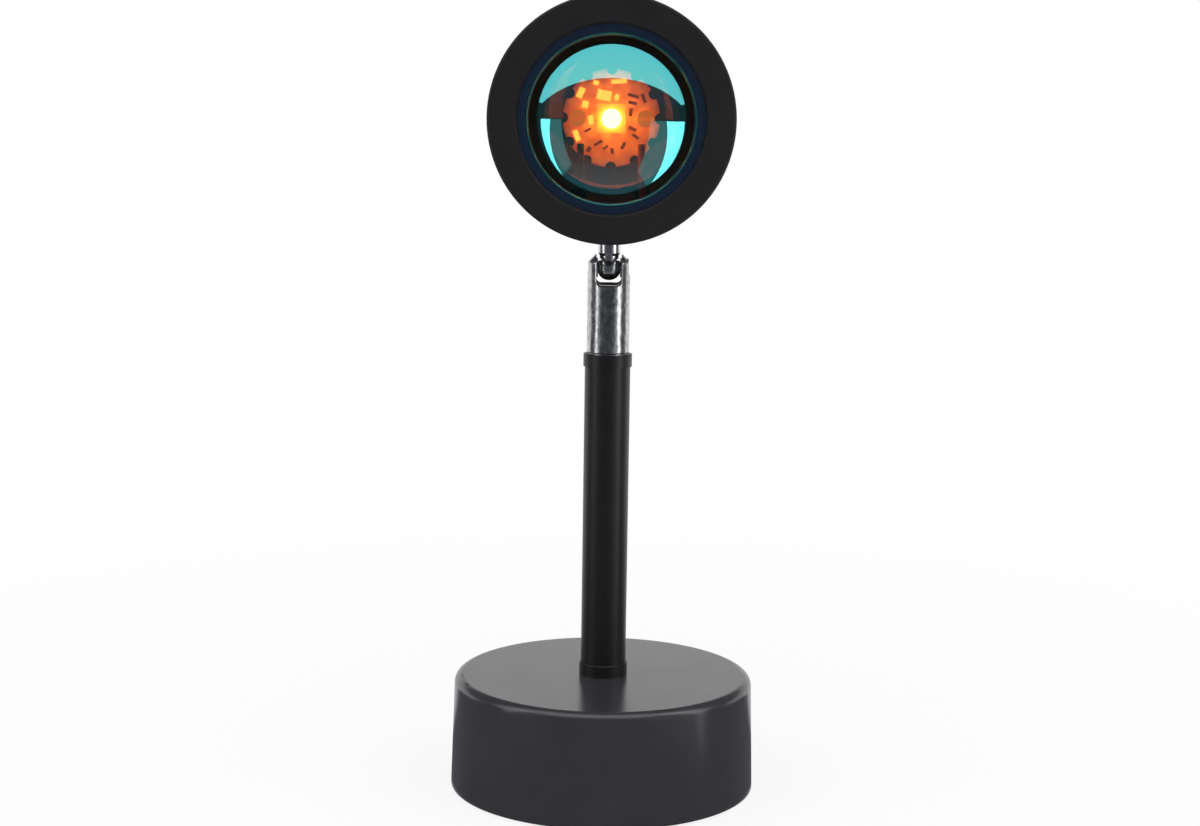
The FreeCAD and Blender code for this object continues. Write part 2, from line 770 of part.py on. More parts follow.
def emitter_dome():
    """Clear half ball over the light source."""
    front = board_front_depth - emitter_thickness
    centre = FreeCAD.Vector(0, front - neck_depth, axis_height)
    return Part.makeSphere(emitter_dome_radius, centre).common(
        rod_d(emitter_dome_radius, front - emitter_dome_radius, front))


def heat_sink():
    """Turned aluminium sink: a post behind the board, a spigot in the housing and ring fins."""
    outline = [(post_front_depth, 0), (post_front_depth, board_radius),
               (shroud_back_depth, board_radius), (shroud_back_depth, post_radius),
               (spigot_front_depth, post_radius),
               (spigot_front_depth, housing_bore - running_clearance),
               (housing_back_depth, housing_bore - running_clearance)]
    for k in range(fin_count):
        front = housing_back_depth + k * fin_pitch
        back = front + (sink_back_thickness if k == fin_count - 1 else fin_thickness)
        outline += [(front, housing_radius - fin_edge_bevel), (front + fin_edge_bevel, housing_radius),
                    (back - fin_edge_bevel, housing_radius), (back, housing_radius - fin_edge_bevel)]
        if k < fin_count - 1:
            outline += [(back, sink_core_radius), (front + fin_pitch, sink_core_radius)]
    outline += [(sink_back_depth, sink_dish_radius), (sink_back_depth - sink_dish_depth, sink_dish_radius),
                (sink_back_depth - sink_dish_depth, 0)]
    sink = turned_d(outline)
    for x in (-board_screw_circle, board_screw_circle):
        sink = sink.cut(rod_d(board_screw_radius, post_front_depth,
                              board_front_depth + board_screw_length, x))
    for angle in set_screw_places():
        sink = sink.cut(radial_rod(set_screw_radius, housing_radius - set_screw_length,
                                   housing_radius, set_screw_depth, angle))
    return sink


def set_screws():
    """Socket set screws through the housing into the sink's spigot."""
    screws = []
    for angle in set_screw_places():
        outer = housing_radius - running_clearance
        screw = radial_rod(set_screw_radius, housing_radius - set_screw_length, outer,
                           set_screw_depth, angle)
        socket = radial_rod(set_screw_socket, outer - set_screw_socket_depth, outer,
                            set_screw_depth, angle)
        screws.append(screw.cut(socket))
    return screws


# ---- leads ----
def pole_leads():
    """The two leads from the gland, through the weight's channel and up the pole to the knuckle."""
    start = gland_ends()[0] - lead_gap
    floor = cover_top + lead_radius + lead_gap
    bend = weight_inner_radius
    leads = []
    for x in (-lead_spacing / 2, lead_spacing / 2):
        leads.append(lead([(x, start, gland_height), (x, start - gland_lead_run, gland_height),
                           (x, weight_radius() - weight_lead_inset, floor), (x, bend, floor),
                           (x, 0, floor + bend), (x, 0, slot_floor - lead_gap)], lead_radius))
    return leads


def head_leads():
    """The two leads from the board, through the shroud and down into the hollow neck."""
    front = board_front_depth - lead_radius - running_clearance - neck_depth
    turn_height = stem_top + stem_lead_rise
    leads = []
    for side in (-1, 1):
        x = side * board_lead_spacing / 2
        low = axis_height - shroud_lead_drop
        leads.append(lead([(x, front, axis_height - board_lead_start), (x, front, low), (x, 0, low),
                           (side * lead_spacing / 2, 0, turn_height),
                           (side * lead_spacing / 2, 0, stem_bore_bottom + lead_gap)], lead_radius))
    return leads


# ---- the nodes, by name ----
NODES = {
    "base_shell": base_shell,
    "base_cover": base_cover,
    "cover_screws": cover_screws,
    "anti_slip_pad": anti_slip_pad,
    "base_weight": base_weight,
    "cord_gland": cord_gland,
    "pole_nipple": pole_nipple,
    "lock_washer": lock_washer,
    "lock_nut": lock_nut,
    "pole_tube": pole_tube,
    "lower_collar": lower_collar,
    "upper_collar": upper_collar,
    "pole_bush": pole_bush,
    "swivel_stud": swivel_stud,
    "slip_washer": slip_washer,
    "spring_washer": spring_washer,
    "pole_leads": pole_leads,
    "ring_nut": ring_nut,
    "stop_pin": stop_pin,
    "knuckle_barrel": knuckle_barrel,
    "knuckle_screw": knuckle_screw,
    "friction_washers": friction_washers,
    "neck": neck,
    "neck_washer": neck_washer,
    "neck_nut": neck_nut,
    "lamp_housing": lamp_housing,
    "front_bezel": front_bezel,
    "lens": lens,
    "lens_gasket": lens_gasket,
    "shroud": shroud,
    "led_board": led_board,
    "board_screws": board_screws,
    "thermal_pad": thermal_pad,
    "led_emitter": led_emitter,
    "emitter_dome": emitter_dome,
    "heat_sink": heat_sink,
    "set_screws": set_screws,
    "head_leads": head_leads,
}


def solids_of(made):
    """Every solid of a piece, or of a group of like pieces."""
    shapes = made if isinstance(made, list) else [made]
    return [solid for shape in shapes for solid in shape.Solids]


def main():
    """Builds every node and writes one file for each."""
    os.makedirs("parts", exist_ok=True)
    for name, build in NODES.items():
        solids = solids_of(build())
        for solid in solids:
            if not solid.isValid() or solid.Volume <= 0:
                raise ValueError(name + " has a solid that isn't closed")
        shape = solids[0] if len(solids) == 1 else Part.makeCompound(solids)
        shape.exportStep("parts/" + name + ".step")
        print(name, len(solids), "solid(s)", round(shape.Volume / 1000, 2), "cm3")


main()
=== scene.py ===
import math

import bmesh
import bpy
from mathutils import Matrix, Vector


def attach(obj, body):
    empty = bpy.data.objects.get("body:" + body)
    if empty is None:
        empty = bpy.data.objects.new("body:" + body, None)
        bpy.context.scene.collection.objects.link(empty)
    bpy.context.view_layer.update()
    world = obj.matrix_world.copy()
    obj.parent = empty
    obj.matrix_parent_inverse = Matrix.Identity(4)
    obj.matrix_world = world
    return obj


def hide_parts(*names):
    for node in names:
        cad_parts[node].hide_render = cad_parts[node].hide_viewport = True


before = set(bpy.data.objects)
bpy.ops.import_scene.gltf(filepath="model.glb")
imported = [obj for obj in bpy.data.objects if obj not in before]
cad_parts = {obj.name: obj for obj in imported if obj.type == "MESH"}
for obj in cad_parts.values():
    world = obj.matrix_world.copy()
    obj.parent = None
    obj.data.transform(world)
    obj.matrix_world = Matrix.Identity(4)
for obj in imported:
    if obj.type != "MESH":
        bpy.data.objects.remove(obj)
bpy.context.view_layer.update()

MM = 0.001


# ---- Camera: a short telephoto a little above the lamp's head, looking down 8.6 degrees and leaning
# a hair, as the photograph does.
camera_place = (-0.00181, -0.5747, 0.1880)
camera_pitch = math.radians(8.6)
camera_roll = math.radians(0.84)
camera_data = bpy.data.cameras.new("camera")
camera_data.lens = 66.0
camera_data.sensor_width = 36.0
camera_data.clip_start = 0.01
camera = bpy.data.objects.new("camera", camera_data)
bpy.context.scene.collection.objects.link(camera)
looking = Matrix.Rotation(math.radians(90) - camera_pitch, 4, "X")
camera.matrix_world = Matrix.Translation(camera_place) @ looking @ Matrix.Rotation(camera_roll, 4, "Z")
bpy.context.scene.camera = camera
bpy.context.scene.view_settings.view_transform = "Standard"


# ---- Studio: a white floor and surround, a soft fill, and a wide softbox overhead. Shine and glass also
# see dark cloth in front, above and on the floor, and a white card with a dim edge at each side.
class Shade:
    """A socket of a shader tree. Sums and products of shades add their Math nodes."""

    def __init__(self, nodes, socket):
        self.nodes = nodes
        self.socket = socket

    def math(self, operation, *values):
        return self.nodes.add("ShaderNodeMath", {"operation": operation}, dict(enumerate(values)))

    def __add__(self, other):
        return self.math("ADD", self, other)

    def __sub__(self, other):
        return self.math("SUBTRACT", self, other)

    def __rsub__(self, other):
        return self.math("SUBTRACT", other, self)

    def __mul__(self, other):
        return self.math("MULTIPLY", self, other)

    def __pow__(self, other):
        return self.math("POWER", self, other)

    def __gt__(self, other):
        return self.math("GREATER_THAN", self, other)

    def __lt__(self, other):
        return self.math("LESS_THAN", self, other)

    __radd__ = __add__
    __rmul__ = __mul__


class Nodes:
    """A shader tree under construction."""

    def __init__(self, tree):
        self.tree = tree
        tree.nodes.clear()

    def add(self, kind, settings=None, values=None, output=0):
        """A node of any kind: its settings first, then the values or links of its sockets."""
        node = self.tree.nodes.new(kind)
        for name, value in (settings or {}).items():
            if name == "stops":
                for stop, (place, colour) in zip(ramp_stops(node.color_ramp, len(value)), value):
                    stop.position, stop.color = place, colour
            else:
                setattr(node, name, value)
        for key, value in (values or {}).items():
            if isinstance(value, Shade):
                self.tree.links.new(value.socket, node.inputs[key])
            else:
                node.inputs[key].default_value = value
        return Shade(self, node.outputs[output]) if node.outputs else None

    def mixed(self, share, first, second):
        """The first colour, giving way to the second as the share goes from 0 to 1."""
        return self.add("ShaderNodeMix", {"data_type": "RGBA"}, {0: share, 6: first, 7: second}, 2)

    def ramp(self, value, *stops):
        """A colour read from stops of (place, colour)."""
        return self.add("ShaderNodeValToRGB", {"stops": stops}, {"Fac": value})


def ramp_stops(ramp, count):
    """The ramp's stops, as many as asked."""
    while len(ramp.elements) < count:
        ramp.elements.new(1.0)
    return ramp.elements


def grey(level):
    return (level, level, level, 1.0)


def ray_share(nodes, *kinds):
    """1 for these kinds of ray and 0 for the rest."""
    path = nodes.add("ShaderNodeLightPath").socket.node
    total = 0.0
    for kind in kinds:
        total = Shade(nodes, path.outputs[kind]) + total
    return nodes.add("ShaderNodeClamp", None, {"Value": total})


world = bpy.data.worlds.new("studio")
world.use_nodes = True
bpy.context.scene.world = world
nodes = Nodes(world.node_tree)
fill = nodes.add("ShaderNodeBackground", None, {"Color": (0.97, 0.98, 1.0, 1.0), "Strength": 0.55})
white = nodes.add("ShaderNodeBackground", None, {"Color": grey(1.0), "Strength": 1.0})
seen = ray_share(nodes, "Is Camera Ray", "Is Glossy Ray", "Is Transmission Ray")
sky = nodes.add("ShaderNodeMixShader", None, {0: seen, 1: fill, 2: white})
nodes.add("ShaderNodeOutputWorld", None, {"Surface": sky})


def stage_sheet(name, rows, material):
    """A thin sheet through rows of points, which isn't part of the lamp."""
    mesh = bpy.data.meshes.new(name)
    wide = len(rows[0])
    points = [p for row in rows for p in row]
    faces = [(i * wide + k, i * wide + k + 1, (i + 1) * wide + k + 1, (i + 1) * wide + k)
             for i in range(len(rows) - 1) for k in range(wide - 1)]
    mesh.from_pydata(points, [], faces)
    mesh.materials.append(material)
    sheet = bpy.data.objects.new(name, mesh)
    bpy.context.scene.collection.objects.link(sheet)
    return sheet


def ring_point(radius, azimuth, height):
    """A point round the lamp. Azimuth 0 faces the camera and positive turns to its right."""
    turn = math.radians(azimuth)
    return (radius * math.sin(turn), -radius * math.cos(turn), height)


floor_radius, floor_middle, floor_centre, floor_level = 8.0, 0.2, 0.0001, -0.0001
glow_near, glow_far = 0.85, 1.0
glow_starts, glow_whole = 0.06, 0.40
floor_material = bpy.data.materials.new("floor")
floor_material.use_nodes = True
nodes = Nodes(floor_material.node_tree)
matte = nodes.add("ShaderNodeBsdfDiffuse", None, {"Color": grey(0.82)})
glow = nodes.add("ShaderNodeEmission", None, {"Color": grey(1.0), "Strength": 1.0})
seen = ray_share(nodes, "Is Camera Ray", "Is Glossy Ray", "Is Transmission Ray")
from_lamp = nodes.add("ShaderNodeVectorMath", {"operation": "LENGTH"},
                      {0: nodes.add("ShaderNodeTexCoord", None, None, "Object")}, "Value")
glow_share = nodes.add("ShaderNodeMapRange", None, {
    "Value": from_lamp, "From Min": glow_starts, "From Max": glow_whole,
    "To Min": glow_near, "To Max": glow_far})
surface = nodes.add("ShaderNodeMixShader", None, {0: seen * glow_share, 1: matte, 2: glow})
under = Shade(nodes, nodes.add("ShaderNodeNewGeometry").socket.node.outputs["Backfacing"])
clear = nodes.add("ShaderNodeBsdfTransparent")
surface = nodes.add("ShaderNodeMixShader", None, {0: under, 1: surface, 2: clear})
nodes.add("ShaderNodeOutputMaterial", None, {"Surface": surface})
ring_step = 6
floor_rings = (floor_centre, floor_middle, floor_radius)
floor_rows = [[ring_point(radius, azimuth, floor_level) for radius in floor_rings]
              for azimuth in range(0, 360 + ring_step, ring_step)]
stage_sheet("floor", floor_rows, floor_material)


def card_material(name, stops):
    """An evenly lit card, whose brightness goes through stops from left to right along its map."""
    material = bpy.data.materials.new(name)
    material.use_nodes = True
    nodes = Nodes(material.node_tree)
    along = nodes.add("ShaderNodeUVMap", {"uv_map": "along"})
    across = nodes.add("ShaderNodeSeparateXYZ", None, {0: along})
    light = nodes.ramp(across, *stops)
    shine = nodes.add("ShaderNodeEmission", None, {"Color": light, "Strength": card_peak})
    nodes.add("ShaderNodeOutputMaterial", None, {"Surface": shine})
    return material


def shine_only(sheet):
    """Makes the sheet show in shine and glass alone."""
    sheet.visible_camera = False
    sheet.visible_diffuse = False
    sheet.visible_shadow = False


def card(name, rows, stops):
    """A card of that shape that only shine and glass can see."""
    sheet = stage_sheet(name, rows, card_material(name, stops))
    wide = len(rows[0])
    along = sheet.data.uv_layers.new(name="along")
    for loop in sheet.data.loops:
        row, column = divmod(loop.vertex_index, wide)
        along.data[loop.index].uv = (row / (len(rows) - 1), column / (wide - 1))
    shine_only(sheet)
    return sheet


def ring_card(name, reach, places, stops):
    """A card round the lamp, reaching as far to each side, through rings of (radius, height)."""
    azimuths = range(-reach, reach + ring_step, ring_step)
    card(name, [[ring_point(radius, azimuth, height) for azimuth in azimuths] for radius, height in places],
         stops)


card_peak = 3.8
cloth = (0.016, 0.0175, 0.020, 1.0)
cloth_stops = [(0.0, cloth), (1.0, cloth)]
cloth_reach, cloth_radius, cloth_lift = 108, 3.0, 0.0004
ceiling_height, ceiling_back = 0.80, 1.7
near_reach, near_start, near_even, near_end = 132, 0.0412, 0.13, 0.26
near_floor = (0.035, 0.037, 0.044, 1.0)
ring_card("cloth_front", cloth_reach, ((cloth_radius, 0.0), (cloth_radius, ceiling_height)), cloth_stops)
ring_card("cloth_near", near_reach, [(radius, cloth_lift) for radius in (near_start, near_even, near_end)],
          [(0.0, near_floor), (0.5, near_floor), (1.0, cloth)])
ring_card("cloth_floor", cloth_reach, ((near_end, cloth_lift), (cloth_radius, cloth_lift)), cloth_stops)
ceiling = (0.017, 0.020, 0.027, 1.0)
card("cloth_ceiling", [[(x, y, ceiling_height) for y in (-cloth_radius, ceiling_back)]
                       for x in (-cloth_radius, cloth_radius)], [(0.0, ceiling), (1.0, ceiling)])

card_foot, card_top, card_tip = 0.001, 0.176, 0.001
side_dim, side_bright = (0.085, 0.090, 0.095, 1.0), grey(0.85)
for name, x, dim_edge, bright_edge, back in (("card_left", -0.150, -0.139, -0.094, -0.060),
                                             ("card_right", 0.095, -0.138, -0.083, -0.042)):
    front = [(x, dim_edge, card_foot), (x, dim_edge, card_top)]
    slant = [(x, back, card_foot), (x, bright_edge, card_top)]
    rear = [(x, back + card_tip, card_foot), (x, back, card_top)]
    card(name + "_dim", [front, slant], [(0.0, side_dim), (1.0, side_dim)])
    card(name, [slant, rear], [(0.0, side_bright), (1.0, side_bright)])

softbox_height = 0.78
softbox_front, softbox_back = -0.69, 0.05
softbox_width = 5.8
softbox_radiance = 1.5
softbox_data = bpy.data.lights.new("softbox", "AREA")
softbox_data.shape = "RECTANGLE"
softbox_data.size = softbox_width
softbox_data.size_y = softbox_back - softbox_front
softbox_data.energy = softbox_radiance * math.pi * softbox_width * (softbox_back - softbox_front)
softbox = bpy.data.objects.new("softbox", softbox_data)
softbox.location = (0, (softbox_front + softbox_back) / 2, softbox_height)
softbox.visible_camera = False
bpy.context.scene.collection.objects.link(softbox)


# ---- Base shell: a moulded cup sprayed with satin black lacquer, whose skin has a fine grain and a
# little orange peel. The finish class and the way it is put on a CAD piece start here.
class Finish(Nodes):
    """A procedural finish round one Principled shader."""

    def __init__(self, name):
        self.material = bpy.data.materials.new(name)
        self.material.use_nodes = True
        super().__init__(self.material.node_tree)

    def place(self, stretch=(1, 1, 1)):
        """The piece's own coordinates, in metres, stretched for grain that runs one way."""
        point = self.add("ShaderNodeTexCoord", None, None, "Object")
        return self.add("ShaderNodeMapping", None, {"Vector": point, "Scale": stretch})

    def noise(self, size, detail=2.0, stretch=(1, 1, 1)):
        """Soft noise round a half, with grains of that size in metres."""
        return self.add("ShaderNodeTexNoise", None,
                        {"Vector": self.place(stretch), "Scale": 1 / size, "Detail": detail})

    def axis(self, name):
        """One coordinate of the piece, in metres."""
        return self.add("ShaderNodeSeparateXYZ", None, {0: self.place()}, name)

    def cells(self, size):
        """The distance to the nearest of scattered points that far apart."""
        return self.add("ShaderNodeTexVoronoi", None, {"Vector": self.place(), "Scale": 1 / size})

    def bump(self, height, depth, under=None):
        """A relief of that depth in metres, on top of another."""
        values = {"Strength": 1.0, "Distance": depth, "Height": height}
        if under is not None:
            values["Normal"] = under
        return self.add("ShaderNodeBump", None, values)

    def coat(self, values):
        """Ends the finish: the values of the Principled shader's sockets."""
        shader = self.add("ShaderNodeBsdfPrincipled", None, values)
        self.add("ShaderNodeOutputMaterial", None, {"Surface": shader})
        return self.material


def dress(material, *names):
    """Puts a finish on CAD pieces."""
    for name in names:
        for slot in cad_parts[name].material_slots:
            slot.material = material


paint = Finish("satin_black_lacquer")
cloud = paint.noise(0.012, 3.0)
grain = paint.noise(0.00022, 1.0)
peel = paint.noise(0.0009, 2.0)
dress(paint.coat({
    "Base Color": paint.mixed(cloud, (0.0270, 0.0250, 0.0285, 1), (0.0370, 0.0345, 0.0385, 1)),
    "Roughness": 0.18 + cloud * 0.06 + grain * 0.06,
    "Specular IOR Level": 0.60,
    "Normal": paint.bump(grain, 3e-6, paint.bump(peel, 6e-6)),
}), "base_shell")


# ---- Floor plate of the base: moulded black plastic with a spark-eroded texture, let into the
# shell's mouth and held by three countersunk screws.
moulded = Finish("moulded_black_plastic")
texture = moulded.noise(0.0003, 3.0)
dress(moulded.coat({
    "Base Color": moulded.mixed(texture, (0.016, 0.016, 0.017, 1), (0.026, 0.026, 0.028, 1)),
    "Roughness": 0.45 + texture * 0.25,
    "Normal": moulded.bump(texture, 2e-5),
}), "base_cover")


# ---- Screws, nuts, washers, stud and threaded tube: zinc-plated steel, turned or rolled, with the
# cloudy look of plating.
zinc = Finish("zinc_plated_steel")
cloud = zinc.noise(0.0025, 4.0)
streak = zinc.noise(0.0001, 1.0)
dress(zinc.coat({
    "Base Color": zinc.mixed(cloud, (0.42, 0.43, 0.45, 1), (0.62, 0.62, 0.62, 1)),
    "Metallic": 1.0,
    "Roughness": 0.22 + cloud * 0.25,
    "Normal": zinc.bump(streak, 2e-6),
}), "cover_screws", "pole_nipple", "lock_washer", "lock_nut", "pole_bush", "swivel_stud", "spring_washer",
    "slip_washer", "ring_nut", "stop_pin", "knuckle_screw", "friction_washers", "neck_washer", "neck_nut")


# ---- Foot: a disc of black foam glued over the floor plate, with open cells in its skin.
foam = Finish("black_foam")
pores = foam.cells(0.0007)
dress(foam.coat({
    "Base Color": foam.mixed(pores, (0.010, 0.010, 0.011, 1), (0.045, 0.045, 0.047, 1)),
    "Roughness": 0.95,
    "Specular IOR Level": 0.2,
    "Normal": foam.bump(pores, 1.5e-4),
}), "anti_slip_pad")


# ---- Weight: cast iron with a sandy skin and a film of rust, inside the base.
iron = Finish("cast_iron")
sand = iron.noise(0.0005, 4.0)
rust = iron.noise(0.010, 4.0)
dress(iron.coat({
    "Base Color": iron.mixed(rust, (0.10, 0.095, 0.09, 1), (0.16, 0.085, 0.05, 1)),
    "Metallic": 0.7,
    "Roughness": 0.55 + sand * 0.3,
    "Normal": iron.bump(sand, 8e-5),
}), "base_weight")


# ---- Cord gland and the lens's gasket: pressed black rubber, dull, with a dusting of chalk.
rubber = Finish("black_rubber")
chalk = rubber.noise(0.0015, 5.0)
dress(rubber.coat({
    "Base Color": rubber.mixed(chalk, (0.014, 0.014, 0.014, 1), (0.040, 0.040, 0.040, 1)),
    "Roughness": 0.60 + chalk * 0.2,
    "Specular IOR Level": 0.35,
    "Normal": rubber.bump(rubber.noise(0.0002), 6e-6),
}), "cord_gland", "lens_gasket")


# ---- Pole and its two collars: drawn steel tube in satin black lacquer, a little smoother than the
# base because the tube under it is smooth.
pole_paint = Finish("pole_black_lacquer")
cloud = pole_paint.noise(0.006, 3.0)
grain = pole_paint.noise(0.00018, 1.0)
draw = pole_paint.noise(0.0008, 2.0, (1, 1, 0.04))
dress(pole_paint.coat({
    "Base Color": pole_paint.mixed(cloud, (0.0070, 0.0070, 0.0075, 1), (0.0105, 0.0105, 0.0110, 1)),
    "Roughness": 0.32 + cloud * 0.08 + grain * 0.08,
    "Specular IOR Level": 0.45,
    "Normal": pole_paint.bump(grain, 2e-6, pole_paint.bump(draw, 3e-6)),
}), "pole_tube", "lower_collar", "upper_collar")


# ---- Leads: tinned copper in coloured plastic, red on one side and black on the other, through the
# base, the pole and the head.
sleeve = Finish("lead_insulation")
red_side = sleeve.axis("X") > 0.0
dress(sleeve.coat({
    "Base Color": sleeve.mixed(red_side, (0.015, 0.015, 0.016, 1), (0.45, 0.020, 0.015, 1)),
    "Roughness": 0.35 + sleeve.noise(0.002) * 0.2,
}), "pole_leads", "head_leads")


# ---- Knuckle barrel: turned brass with a slot milled through its top, chromed over a surface that
# was only roughly polished, so the plating is mottled. The slot's walls are dull and not metal, and painted
# near black: painted shade in the slot.
chrome = Finish("barrel_chrome")
mottle = chrome.noise(0.0010, 5.0, (1, 1, 0.6))
orange_peel = chrome.noise(0.00045, 3.0)
brush = chrome.noise(0.0004, 3.0, (1, 1, 0.05))
side_x, deep_y, high_z = chrome.axis("X"), chrome.axis("Y"), chrome.axis("Z")
slot_side, slot_mouth, slot_foot = 3.35 * MM, -3.9 * MM, 135.1 * MM
# The slot's walls, where shade is painted into the colour.
slot_shade_mask = (side_x < slot_side) * (side_x > -slot_side) * (deep_y > slot_mouth) * (high_z > slot_foot)
patchy = chrome.add("ShaderNodeMapRange", None, {"Value": mottle, "From Min": 0.3, "From Max": 0.7})
plated = chrome.mixed(patchy, (0.33, 0.325, 0.33, 1), (0.72, 0.71, 0.71, 1))
dress(chrome.coat({
    # Base colour: the mottled plating, with the slot's walls painted near black as painted shade.
    "Base Color": chrome.mixed(slot_shade_mask, plated, (0.045, 0.044, 0.044, 1)),
    "Metallic": 1.0 - slot_shade_mask,
    "Roughness": 0.16 + mottle * 0.12 + brush * 0.06 + slot_shade_mask * 0.6,
    "Normal": chrome.bump(orange_peel, 2.2e-5, chrome.bump(mottle, 3e-5)),
}), "knuckle_barrel")


# ---- Neck: turned brass with a flattened ball that tilts in the slot, polished and chromed.
polished = Finish("neck_chrome")
haze = polished.noise(0.0015, 3.0)
dress(polished.coat({
    "Base Color": polished.mixed(haze, (0.66, 0.65, 0.66, 1), (0.80, 0.79, 0.79, 1)),
    "Metallic": 1.0,
    "Roughness": 0.16 + haze * 0.12,
    "Normal": polished.bump(haze, 3e-6),
}), "neck")


# ---- Head: housing, bezel, sink and the disc round the light source, turned aluminium with a matte
# black coating of fine even grain.
head_axis = Vector((0, 0, 178.4)) * MM
matte = Finish("matte_black_head")
cloud = matte.noise(0.008, 3.0)
grain = matte.noise(0.00016, 1.0)
dress(matte.coat({
    "Base Color": matte.mixed(cloud, (0.0085, 0.0078, 0.0092, 1), (0.0125, 0.0114, 0.0134, 1)),
    "Roughness": 0.50 + cloud * 0.08 + grain * 0.10,
    "Specular IOR Level": 0.35,
    "Normal": matte.bump(grain, 4e-6),
}), "lamp_housing", "front_bezel", "heat_sink", "shroud")


# ---- Set screws: black-oxide steel, one under the head and one at each side.
oxide = Finish("black_oxide_steel")
stain = oxide.noise(0.0008, 3.0)
dress(oxide.coat({
    "Base Color": oxide.mixed(stain, (0.020, 0.020, 0.022, 1), (0.045, 0.043, 0.042, 1)),
    "Metallic": 0.8,
    "Roughness": 0.32 + stain * 0.2,
}), "set_screws")


# ---- Lens: pressed and polished soda glass, flat behind and domed in front, with a hard coating that
# mirrors blue-green and lets orange through. It is turned here from its outline with many more
# facets than the CAD solid, because glass shows every one.
lens_depth = -29.5
lens_radius, lens_dome_radius, lens_flange_radius = 28.5, 20.8, 26.0
lens_front, lens_back = 3.1, 5.5
lens_apex = lens_front - (lens_radius - math.sqrt(lens_radius ** 2 - lens_dome_radius ** 2))
lens_facets, dome_steps, bead_steps = 256, 72, 16
lens_bead, lens_edge_bevel, lens_back_ring = 0.30, 0.2, 12.0


def turned(name, outline, depth, facets):
    """A closed solid turned about the head's axis from (radius, depth) points, the first and last on it."""
    mesh = bmesh.new()
    rings = []
    for radius, along in outline:
        if radius == 0:
            rings.append([mesh.verts.new((0, (along + depth) * MM, head_axis.z))])
            continue
        turns = [2 * math.pi * k / facets for k in range(facets)]
        rings.append([mesh.verts.new((radius * MM * math.cos(t), (along + depth) * MM,
                                      head_axis.z + radius * MM * math.sin(t))) for t in turns])
    for low, high in zip(rings, rings[1:]):
        for k in range(facets):
            after = (k + 1) % facets
            corners = [low[k % len(low)], high[k % len(high)], high[after % len(high)], low[after % len(low)]]
            mesh.faces.new(list(dict.fromkeys(corners)))
    bmesh.ops.recalc_face_normals(mesh, faces=mesh.faces)
    data = bpy.data.meshes.new(name)
    mesh.to_mesh(data)
    mesh.free()
    piece = bpy.data.objects.new(name, data)
    bpy.context.scene.collection.objects.link(piece)
    return piece


dome_reach = math.asin(lens_dome_radius / lens_radius)
outline = [(lens_radius * math.sin(t), lens_apex + lens_radius * (1 - math.cos(t)))
           for t in [dome_reach * k / dome_steps for k in range(dome_steps + 1)]]
outline += [(lens_dome_radius + lens_bead * (1 - math.cos(t)), lens_front - lens_bead * math.sin(t))
            for t in [math.pi * k / bead_steps for k in range(1, bead_steps + 1)]]
outline += [(lens_flange_radius - lens_edge_bevel, lens_front),
            (lens_flange_radius, lens_front + lens_edge_bevel),
            (lens_flange_radius, lens_back - lens_edge_bevel),
            (lens_flange_radius - lens_edge_bevel, lens_back), (lens_back_ring, lens_back), (0, lens_back)]
lens_glass = turned("lens_glass", outline, lens_depth, lens_facets)
for face in lens_glass.data.polygons:
    face.use_smooth = True
sharp_edge = math.radians(25)
lens_glass.data.set_sharp_from_angle(angle=sharp_edge)
glass = Finish("coated_lens_glass")
lens_glass.data.materials.append(glass.coat({
    "Base Color": (1.0, 0.54, 0.16, 1),
    "Roughness": 0.0,
    "IOR": 1.52,
    "Transmission Weight": 1.0,
    "Specular Tint": (0.44, 0.96, 1.0, 1),
    "Thin Film Thickness": 145.0,
    "Thin Film IOR": 2.6,
}))
# The flange beyond the bead is made opaque and painted dark navy: painted shade that stands in for the dark
# gasket seen through the glass.
edge = Finish("inked_lens_edge")
lens_glass.data.materials.append(edge.coat({
    "Base Color": (0.010, 0.018, 0.045, 1),
    "Roughness": 0.04,
    "IOR": 1.52,
    "Specular Tint": (0.20, 0.75, 1.0, 1),
    "Coat Weight": 1.0,
    "Coat Roughness": 0.02,
    "Coat IOR": 2.0,
    "Coat Tint": (0.30, 0.85, 1.0, 1),
}))
bright_bead = Finish("plated_lens_bead")
tarnish = bright_bead.noise(0.003, 2.0)
lens_glass.data.materials.append(bright_bead.coat({
    "Base Color": bright_bead.mixed(tarnish, (0.10, 0.55, 0.62, 1), (0.16, 0.80, 0.85, 1)),
    "Metallic": 1.0,
    "Roughness": 0.28,
}))
for face in lens_glass.data.polygons:
    from_axis = math.hypot(face.center.x, face.center.z - head_axis.z) / MM
    if from_axis > lens_dome_radius + 2 * lens_bead:
        face.material_index = 1
    elif from_axis > lens_dome_radius:
        face.material_index = 2
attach(lens_glass, "head")
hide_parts("lens")


# ---- Board of the light source: a round of aluminium with a warm solder mask, scalloped at its rim.
# Its emission is a painted glow that stands for the light the lens throws back on it. The glow is brightest
# at the middle and dimmed in patches and along creases.
board = Finish("warm_led_board")
side_x = board.axis("X")
side_z = board.axis("Z") - head_axis.z
from_axis = (side_x * side_x + side_z * side_z) ** 0.5
mask_noise = board.noise(0.0016, 4.0)
painted_glow_falloff = board.add("ShaderNodeMapRange", None, {"Value": from_axis + mask_noise * 0.0012, "From Min": 0.0015,
                                              "From Max": 0.0085, "To Min": 1.0, "To Max": 0.0})
painted_shade_patches = board.add("ShaderNodeMapRange", None, {"Value": board.noise(0.0030, 6.0), "From Min": 0.44,
                                               "From Max": 0.66, "To Max": 0.80})
crease = board.cells(0.0018)
painted_crease_shade = board.add("ShaderNodeMapRange", None, {"Value": crease, "From Min": 0.35, "From Max": 0.75,
                                                 "To Max": 0.55})
painted_glow_colour = board.ramp(painted_glow_falloff, (0.0, (0.17, 0.050, 0.025, 1)), (0.30, (0.62, 0.20, 0.06, 1)),
                       (0.62, (1.0, 0.42, 0.10, 1)), (1.0, (1.0, 0.72, 0.20, 1)))
